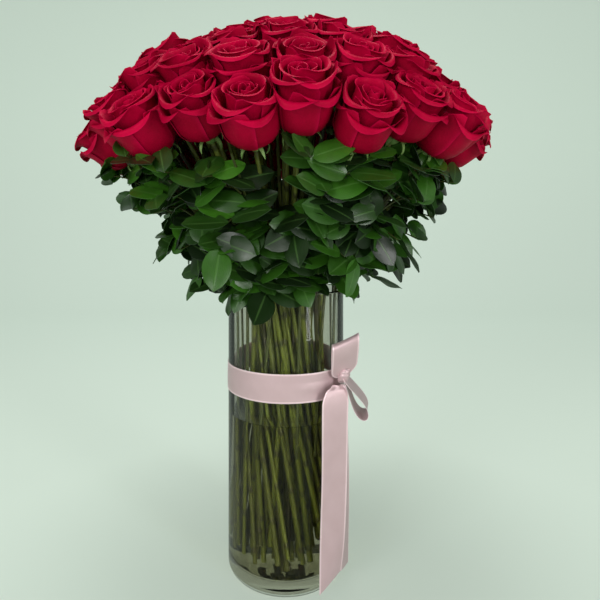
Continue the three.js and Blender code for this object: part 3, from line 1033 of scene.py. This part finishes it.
@dataclass(frozen=True)
class LeafySprays:
    """The collar of leafy sprays between the rim and the roses, one spray to each twelfth of the turn."""

    count: int = 12
    twigs: int = 14
    leaves: int = 7
    leaf_length: float = 37
    leaf_width: float = 24
    stem_radius: float = 1.7
    twig_radius: float = 0.9
    stem: Points = ((55.5, 139), (55.5, 300), (66, 334), (111, 376), (150, 414), (168, 430))
    collar: Points = (
        (70, 325), (90, 318), (110, 330), (134, 350), (160, 374), (184, 402), (193, 424), (194, 440)
    )
    bends: Points = ((0.3, 4), (0.18, 8), (0.4, -2), (0.25, 6))
    drooping: tuple[int, ...] = (7, 8)
    droop: float = 12
    spread: float = 30
    opening: tuple[float, float, float] = (263, 8, 0.66)
    faces: tuple[LeafFinish, ...] = (
        LeafFinish("leaf_face", "#031202", "#366c12", "#5a8440", 0.4, 0.3),
        LeafFinish("leaf_back", "#30492a", "#4f6a40", "#6d8858", 0.6, 0.0),
    )
    stalk: StemFinish = StemFinish("leafy_stalk", "#485020", "#2c3410", "#2b3a14")

    def leaf(self, fold: float, arch: float) -> Piece:
        """Shapes a pattern leaf, its foot at the origin, pointing along +X with its face up.

        Args:
            fold: How steeply both halves rise from the midrib.
            arch: How far the tip bends down, in millimetres.

        Returns:
            The leaf with its thickness.
        """
        piece, across, along = flat_grid("leaf_pattern", 4, 8)
        width = along**0.6 * (1 - along) ** 0.7
        width = self.leaf_width / 2 * np.maximum(width / width.max(), 0.035)
        aside = across * width
        curl = 0.7 * np.sin(8 * along + arch) * across
        rise = fold * np.abs(aside) - 0.025 * aside**2 - arch * along**2 + curl
        set_points(piece, np.stack([along * self.leaf_length, aside, rise], axis=1) * MM)
        paint(piece, "leaf", 0.5, np.abs(across), along)
        thicken(piece, 0.4, use_even_offset=False, material_offset=1)
        return piece

    def azimuth(self, index: int) -> float:
        """Gives the middle of a spray's part of the turn, in radians."""
        return (index + 0.5) * 2 * math.pi / self.count

    def spray_twigs(self, index: int) -> list[Twig]:
        """Lists a spray's twigs, spread evenly over its part of the collar.

        Args:
            index: The spray's number, from 0.

        Returns:
            The twigs from the rim upwards.
        """
        azimuth = self.azimuth(index)
        branch = through([polar(r, azimuth, z) for r, z in self.stem[1:]], 41)
        edge = through([Vector((r, 0, z)) for r, z in self.collar], 41)
        twigs = []
        for k in range(self.twigs):
            seed = 50 * index + k
            share = (k + 0.5 + 0.35 * scatter(seed, 61)) / self.twigs
            reach = edge[round(40 * share)]
            golden = (k * 0.618 + 0.31 * index) % 1
            aside = math.radians(self.spread * (golden - 0.5))
            depth = 0.94 + 0.08 * scatter(seed, 62) - (0.12 if k % 3 == 1 else 0)
            middle, half, above = self.opening
            if share > above and abs(math.degrees(azimuth + aside) - middle) < half:
                continue
            droops = k == 0 and index in self.drooping
            height = reach.z - (self.droop if droops else 0) + 5 * scatter(seed, 63)
            end = polar(reach.x * depth, azimuth + aside, height)
            start = branch[round(40 * (0.02 + 0.8 * share))]
            start = polar(math.hypot(start.x, start.y), azimuth + aside * 0.2, start.z)
            is_down = droops or (share < 0.6 and scatter(seed, 64) < -0.35)
            twigs.append(Twig(start, end, share, -1.0 if is_down else 1.0, seed))
        return twigs

    def twig_line(self, twig: Twig) -> list[Vector]:
        """Draws a twig as an arch from the branch to its end."""
        middle = twig.start.lerp(twig.end, 0.5) + UP * mix(14, 5, twig.share) * (1 if twig.lie > 0 else 1.4)
        return through([twig.start, middle, twig.end], 10)

    def twig_leaves(self, line: Sequence[Vector], twig: Twig) -> Iterable[Matrix]:
        """Places the leaves of a twig, left and right in turn and one at its tip.

        Args:
            line: The twig's middle.
            twig: The twig.

        Returns:
            The matrix of each leaf, in metres.
        """
        for i in range(self.leaves):
            place = mix(0.3, 1.0, i / (self.leaves - 1)) * (len(line) - 1)
            index = min(int(place), len(line) - 2)
            foot = line[index].lerp(line[index + 1], place - index)
            number = 37 * twig.seed + i
            outward = Vector((foot.x, foot.y, 0)).normalized()
            sideways = UP.cross(outward)
            side = 1 if (i + twig.seed) % 2 else -1
            lie_back = math.radians(mix(8, 68, 0.5 + 0.5 * scatter(number, 65)))
            face = outward * math.cos(lie_back) + UP * math.sin(lie_back)
            face = (face + sideways * (0.6 * scatter(number, 66) - 0.2 * side)).normalized()
            is_tip = i == self.leaves - 1
            turned = 14 * scatter(number, 67) if is_tip else side * (54 + 26 * scatter(number, 68))
            angle = math.radians(turned)
            way = (UP * twig.lie * 0.7 + outward * 0.5) * math.cos(angle) + sideways * math.sin(angle)
            way = (way - face * way.dot(face)).normalized()
            stand = Matrix((way, face.cross(way), face)).transposed().to_4x4()
            size = mix(1.0, 0.86, twig.share) * (1 + 0.16 * scatter(number, 69))
            yield Matrix.Translation(foot * MM) @ stand @ Matrix.Scale(size, 4)

    def spray(
        self, index: int, patterns: Sequence[Piece], finishes: Sequence[Material]
    ) -> None:
        """Builds one spray and hands it over.

        Args:
            index: The spray's number, from 0.
            patterns: The leaves that are copied.
            finishes: The stalk's finish.
        """
        azimuth = self.azimuth(index)
        slant = math.radians(9 * scatter(index, 71) - 9)
        foot = polar(self.stem[0][0], azimuth + slant, self.stem[0][1])
        main = through([foot] + [polar(r, azimuth, z) for r, z in self.stem[1:]], 18)
        rods = [rod(f"spray_stem_{index}", main, [mix(self.stem_radius, 1.0, i / 17) for i in range(18)], 6)]
        leaves = []
        for twig in self.spray_twigs(index):
            line = self.twig_line(twig)
            radii = [mix(self.twig_radius * 1.3, self.twig_radius * 0.6, i / 9) for i in range(10)]
            rods.append(rod(f"twig_{twig.seed}", line, radii, 4))
            for number, stand in enumerate(self.twig_leaves(line, twig)):
                leaf = copy_of(patterns[(number + twig.seed) % len(patterns)], f"leaf_{twig.seed}_{number}")
                leaf.data.transform(stand)
                repaint(leaf, "leaf", 0, 0.5 + 0.5 * scatter(100 * twig.seed + number, 70))
                leaves.append(leaf)
        node = f"leaf_spray_{index + 1}"
        stalks = rods_joined(f"{node}_stalks", rods)
        dress(stalks, 50, *finishes)
        hand_over(stalks, Slot.LEAF, node)
        hand_over(join(f"{node}_leaves", leaves), Slot.LEAF, node)

    def build(self) -> None:
        """Makes all the sprays."""
        faces = [face.build() for face in self.faces]
        patterns = [self.leaf(fold, arch) for fold, arch in self.bends]
        for pattern in patterns:
            dress(pattern, 60, *faces)
        stalk = [self.stalk.build()]
        for index in range(self.count):
            self.spray(index, patterns, stalk)
        for pattern in patterns:
            discard(pattern)


# Vase and water


@dataclass(frozen=True)
class Vase:
    """The clear glass cylinder with its thick base, and the water in it."""

    radius: float = 63.5
    height: float = 305
    wall: float = 3.5
    floor: float = 16
    heel: float = 11
    inner_heel: float = 9
    lip: float = 1.7
    water_level: float = 173
    meniscus: float = 1.6
    overlap: float = 0.06
    sides: int = 96
    glass: ClearFinish = ClearFinish("clear_glass", "#f2f2ea", 1.5)
    water: ClearFinish = ClearFinish("clear_water", "#dad6c6", 1.333)

    def arc(self, x: float, z: float, radius: float, start: float, end: float, steps: int) -> list[Vector]:
        """Draws an arc in the plane of the profile, its angles in degrees from +X."""
        angles = [math.radians(mix(start, end, i / steps)) for i in range(steps + 1)]
        return [Vector((x + radius * math.cos(a), 0, z + radius * math.sin(a))) for a in angles]

    def turned(self, name: str, profile: Sequence[Vector]) -> Piece:
        """Spins a profile round the axis into a closed piece."""
        piece = placed(name, bpy.data.meshes.new(name))
        edges = [(i, i + 1) for i in range(len(profile) - 1)]
        piece.data.from_pydata([point * MM for point in profile], edges, [])
        pick(piece)
        bpy.ops.object.mode_set(mode="EDIT")
        bpy.ops.mesh.select_all(action="SELECT")
        bpy.ops.mesh.spin(steps=self.sides, angle=2 * math.pi, center=(0, 0, 0), axis=(0, 0, 1))
        bpy.ops.mesh.select_all(action="SELECT")
        bpy.ops.mesh.remove_doubles(threshold=0.01 * MM)
        bpy.ops.object.mode_set(mode="OBJECT")
        face_outwards(piece)
        return piece

    def build(self) -> None:
        """Makes the vase and its water and hands them over."""
        inner, lip = self.radius - self.wall, self.lip
        glass = [
            Vector((0, 0, 0)),
            *self.arc(self.radius - self.heel, self.heel, self.heel, -90, 0, 12),
            *self.arc(self.radius - lip, self.height - lip, lip, 0, 90, 5),
            *self.arc(inner + lip, self.height - lip, lip, 90, 180, 5),
            *self.arc(inner - self.inner_heel, self.floor + self.inner_heel, self.inner_heel, 0, -90, 10),
            Vector((0, 0, self.floor)),
        ]
        wet, floor = inner + self.overlap, self.floor - self.overlap
        still = self.water_level - self.meniscus
        water = [
            Vector((0, 0, floor)),
            *self.arc(wet - self.inner_heel, floor + self.inner_heel, self.inner_heel, -90, 0, 10),
            Vector((wet, 0, self.water_level)),
            Vector((inner - 0.7, 0, self.water_level - 0.9 * self.meniscus / 2)),
            Vector((inner - 2.4, 0, still)),
            Vector((0, 0, still)),
        ]
        for name, profile, finish, slot, node in (
            ("vase_glass", glass, self.glass, Slot.GLASS, "vase"),
            ("vase_water", water, self.water, Slot.WATER, "water"),
        ):
            piece = self.turned(name, profile)
            dress(piece, 40, finish.build())
            hand_over(piece, slot, node)


# Ribbon


@dataclass(frozen=True)
class Ribbon:
    """The satin ribbon: a band round the glass, a knot with two loops, and two hanging tails."""

    width: float = 29
    thickness: float = 0.35
    band_bottom: float = 197
    glass_radius: float = 63.5
    knot: Vector = field(default_factory=lambda: Vector((59.5, -46, 220)))
    satin: SatinFinish = SatinFinish("blush_satin", "#f8d8de", "#d0acaf", "#eedadc")

    def strip(
        self,
        name: str,
        rule: Callable[[np.ndarray, np.ndarray], np.ndarray],
        columns: int,
        rows: int,
        flat: tuple[float, float],
        node: str,
        closed: bool = False,
    ) -> Piece:
        """Args:
            name: The piece's name.
            rule: Gives the places for shares across, from -1 to 1, and along, from 0 to 1, in millimetres.
            columns: Faces across the ribbon.
            rows: Faces along the ribbon.
            flat: The width and length that it was cut to, in millimetres.
            node: The part's node that it stands for.
            closed: Whether its ends meet.

        Returns:
            The finished strip.
        """
        piece, across, along = flat_grid(name, columns, rows)
        set_points(piece, rule(across, along) * MM)
        paint(piece, "ribbon", np.abs(across), along * flat[1] / 100)
        if closed:
            modify(piece, "WELD", merge_threshold=0.05 * MM)
        thicken(piece, self.thickness)
        face_outwards(piece)
        dress(piece, 60, self.finish)
        hand_over(piece, Slot.RIBBON, node)
        return piece

    @property
    def finish(self) -> Material:
        """Gives the satin, made once."""
        return bpy.data.materials.get(self.satin.name) or self.satin.build()

    def band(self, across: np.ndarray, along: np.ndarray) -> np.ndarray:
        """Wraps the band round the glass, a little fuller in the middle than at its edges."""
        angle = 2 * math.pi * along + math.atan2(self.knot.y, self.knot.x)
        near = np.exp(-((np.minimum(along, 1 - along) * 9) ** 2))
        ease = 0.3 + 0.35 * (1 - across**2) + 0.12 * np.sin(5 * angle + 1.3 * across)
        ease += 0.55 * near * (1 + np.cos(7 * across + 3 * np.minimum(along, 1 - along)))
        radius = self.glass_radius + self.thickness / 2 + ease
        height = self.band_bottom + self.width / 2 * (1 + across)
        return np.stack([radius * np.cos(angle), radius * np.sin(angle), height], axis=1)

    def loop(self, reach: Vector, bulge: Vector, sideways: Vector, lead: float) -> Callable:
        """Gives the rule of a loop that leaves the knot, turns round an oval and comes back.

        Args:
            reach: From the knot to the far end of the loop.
            bulge: How far the loop opens, and which way.
            sideways: The way of the ribbon's width.
            lead: How far the outer edge of the far end stands ahead of the inner one.

        Returns:
            The rule for the strip.
        """
        side = np.array(sideways.normalized())
        start, far, wide = np.array(self.knot), np.array(reach), np.array(bulge)

        def rule(across: np.ndarray, along: np.ndarray) -> np.ndarray:
            """Places the loop's points."""
            angle = 2 * math.pi * along
            out = (1 - np.cos(angle)) / 2
            swell = 1.6 * out * np.sin(angle)
            gather = smooth(np.minimum(along, 1 - along) * 6.5)
            half = self.width / 2 * (0.3 + 0.7 * gather)
            pleat = 1.5 * (1 - gather) * np.cos(3.2 * across)
            centre = start + np.outer(out, far) + np.outer(swell, wide)
            centre += np.outer(across * lead * out, far / np.linalg.norm(far))
            depth = np.cross(far / np.linalg.norm(far), side)
            return centre + np.outer(across * half, side) + np.outer(pleat + 1.2 * across**2 * out, depth)

        return rule

    def tail(
        self,
        line: Sequence[Sequence[float]],
        sideways: Vector,
        widths: Sequence[float],
        slant: float,
        twist: float = 0,
    ) -> Callable:
        """Gives the rule of a tail that hangs along a line and is cut off at a slant.

        Args:
            line: Points down the middle of the tail.
            sideways: The way of the ribbon's width.
            widths: The tail's width at each point.
            slant: How much further down one corner of its end reaches than the middle.
            twist: How far it has turned at its lower end, in degrees.

        Returns:
            The rule for the strip.
        """
        first = math.atan2(sideways.y, sideways.x)
        shares = np.linspace(0, 1, len(line))
        route = np.array(through([Vector(point) for point in line], 61))

        def rule(across: np.ndarray, along: np.ndarray) -> np.ndarray:
            """Places the tail's points."""
            at = [np.interp(along, np.linspace(0, 1, 61), route[:, axis]) for axis in range(3)]
            half = np.interp(along, shares, widths) / 2
            centre = np.stack(at, axis=1)
            gather = smooth(1 - along * 7)
            angle = first + math.radians(twist) * along
            side = np.stack([np.cos(angle), np.sin(angle), 0 * angle], axis=1)
            face = np.cross(side, (0, 0, 1))
            fold = 1.6 * gather * np.cos(5 * across) + 0.9 * np.sin(9 * along + 1.5 * across) * along
            centre += (across * half)[:, None] * side + fold[:, None] * face
            centre[:, 2] -= slant * across * along**3
            return centre

        return rule

    def knot_wrap(self, across: np.ndarray, along: np.ndarray) -> np.ndarray:
        """Wraps the knot: a short strip drawn tight round the pinch, with two soft pleats."""
        angle = 2 * math.pi * along
        width = 7.2 * across
        swell = 1 - 0.32 * across**2 + 0.07 * np.cos(3 * math.pi * across)
        lengthways = np.array(Vector((0.25, -0.15, 1)).normalized())
        outward = np.array(Vector((0.79, -0.61, 0.1)).normalized())
        cross = np.cross(lengthways, outward)
        points = np.array(self.knot) + np.outer(5.8 * swell * np.cos(angle), outward)
        points += np.outer(6.6 * swell * np.sin(angle), cross)
        return points + np.outer(width, lengthways)

    def build(self) -> None:
        """Makes all the lengths of ribbon."""
        around = 2 * math.pi * (self.glass_radius + 0.6)
        upper = self.loop(Vector((0, -15, 40)), Vector((0, -7, 0)), Vector((0.91, 0, 0.42)), 0.05)
        lower = self.loop(Vector((23, 9, -43)), Vector((5, 0, 3)), Vector((0.15, 1, 0.1)), 0.04)
        front_line = (
            (52.5, -55.5, 213), (49.5, -59.5, 196), (48.5, -59.5, 120), (46.5, -59.5, 60), (44.5, -60, 18)
        )
        back_line = ((62, -33, 206), (61.5, -29, 188), (61.5, -28, 110), (62, -28, 13))
        wide = self.width
        front = self.tail(front_line, Vector((0.96, 0.26, 0)), [13, wide, wide, wide, wide], -7, 18)
        back = self.tail(back_line, Vector((0.42, 0.9, 0)), [10, 26, wide, wide], 4)
        band, bow, knot = "ribbon_band", "ribbon_bow", ["satin_knot"]
        self.strip("satin_band", self.band, 8, 120, (wide, around), band, True)
        self.strip("satin_loop_upper", upper, 10, 44, (wide, 95), bow)
        self.strip("satin_loop_lower", lower, 10, 44, (wide, 106), bow)
        self.strip("satin_knot", self.knot_wrap, 10, 28, (14.4, 39), bow, True)
        self.strip("satin_tail_front", front, 10, 60, (wide, 197), "ribbon_tail_front")
        self.strip("satin_tail_back", back, 10, 56, (wide, 194), "ribbon_tail_back")


# Studio


@dataclass(frozen=True)
class Panel:
    """A soft panel light: its place, the point it faces, its width and height, and its power in watts."""

    name: str
    place: tuple[float, float, float]
    aim: tuple[float, float, float]
    size: tuple[float, float]
    power: float
    mirrored: bool = True

    def hang(self) -> None:
        """Hangs the light, which glossy faces show only if it is mirrored."""
        data = bpy.data.lights.new(self.name, "AREA")
        data.shape = "RECTANGLE"
        data.size, data.size_y = self.size
        data.energy = self.power
        lamp = placed(self.name, data)
        lamp.location = self.place
        lamp.visible_glossy = self.mirrored
        lamp.rotation_euler = (Vector(self.aim) - Vector(self.place)).to_track_quat("-Z", "Y").to_euler()


@dataclass(frozen=True)
class Studio:
    """The pale floor and backdrop, the soft lights and the camera, in metres."""

    camera_place: tuple[float, float, float] = (0.0, -0.575, 0.371)
    lens: float = 31.0
    shift: tuple[float, float] = (0.0235, -0.12)
    air: float = 0.28
    backdrop: FloorFinish = FloorFinish("pale_backdrop", "#9ca79d", "#a3afa5", 0.9)
    floor_front: float = 2.5
    floor_level: float = 1.6
    floor_bend: float = 0.9
    floor_length: float = 7.0
    floor_side: float = 4
    floor_gap: float = 0.0002
    panels: tuple[Panel, ...] = (
        Panel("key_light", (-1.4, -2.0, 1.1), (0, 0, 0.42), (1.2, 1.2), 34),
        Panel("fill_light", (1.7, -1.8, 0.7), (0, 0, 0.35), (0.4, 1.8), 30),
        Panel("low_light", (-0.2, -2.3, 0.25), (0, 0, 0.5), (1.0, 1.0), 10, mirrored=False),
        Panel("top_light", (-0.1, 0.1, 2.1), (0, 0, 0.5), (1.0, 1.0), 24),
    )

    def floor(self) -> None:
        """Lays the floor and runs it up into a backdrop behind."""
        piece, across, along = flat_grid("studio_floor", 2, 40)
        bend, level = self.floor_bend, self.floor_level
        run = along * self.floor_length - self.floor_front
        turn = np.clip((run - level) / bend, 0, math.pi / 2)
        past = np.maximum(run - level - bend * math.pi / 2, 0)
        depth = np.minimum(run, level) + bend * np.sin(turn)
        height = bend * (1 - np.cos(turn)) + past - self.floor_gap
        set_points(piece, np.stack([across * self.floor_side, depth, height], axis=1))
        dress(piece, 60, self.backdrop.build())

    def camera(self) -> None:
        """Sets the camera level with the foliage, in front of the bunch."""
        data = bpy.data.cameras.new("front_camera")
        data.lens = self.lens
        data.sensor_width = 36
        data.shift_x, data.shift_y = self.shift
        camera = placed("front_camera", data)
        camera.location = self.camera_place
        camera.rotation_euler = (math.radians(90), 0, 0)
        bpy.context.scene.camera = camera

    def build(self) -> None:
        """Sets up the whole studio."""
        scene = bpy.context.scene
        scene.view_settings.view_transform = "Standard"
        world = bpy.data.worlds.new("studio_air")
        world.use_nodes = True
        tree = world.node_tree
        air = tree.nodes["Background"]
        air.inputs["Color"].default_value = shade_of("#dfe8e2")
        path = tree.nodes.new("ShaderNodeLightPath")
        dim = tree.nodes.new("ShaderNodeMath")
        dim.operation = "MULTIPLY_ADD"
        dim.inputs[1].default_value = -0.3 * self.air
        dim.inputs[2].default_value = self.air
        tree.links.new(path.outputs["Is Glossy Ray"], dim.inputs[0])
        tree.links.new(dim.outputs[0], air.inputs["Strength"])
        scene.world = world
        self.floor()
        self.camera()
        for panel in self.panels:
            panel.hang()


def main() -> None:
    """Builds every piece in order."""
    logging.basicConfig(level=logging.INFO, format="%(name)s: %(message)s")
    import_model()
    places = Dome().places()
    Studio().build()
    Vase().build()
    RoseStems(places).build()
    Roses(places).build()
    LeafySprays().build()
    Ribbon().build()
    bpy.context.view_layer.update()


if __name__ == "__main__":
    main()
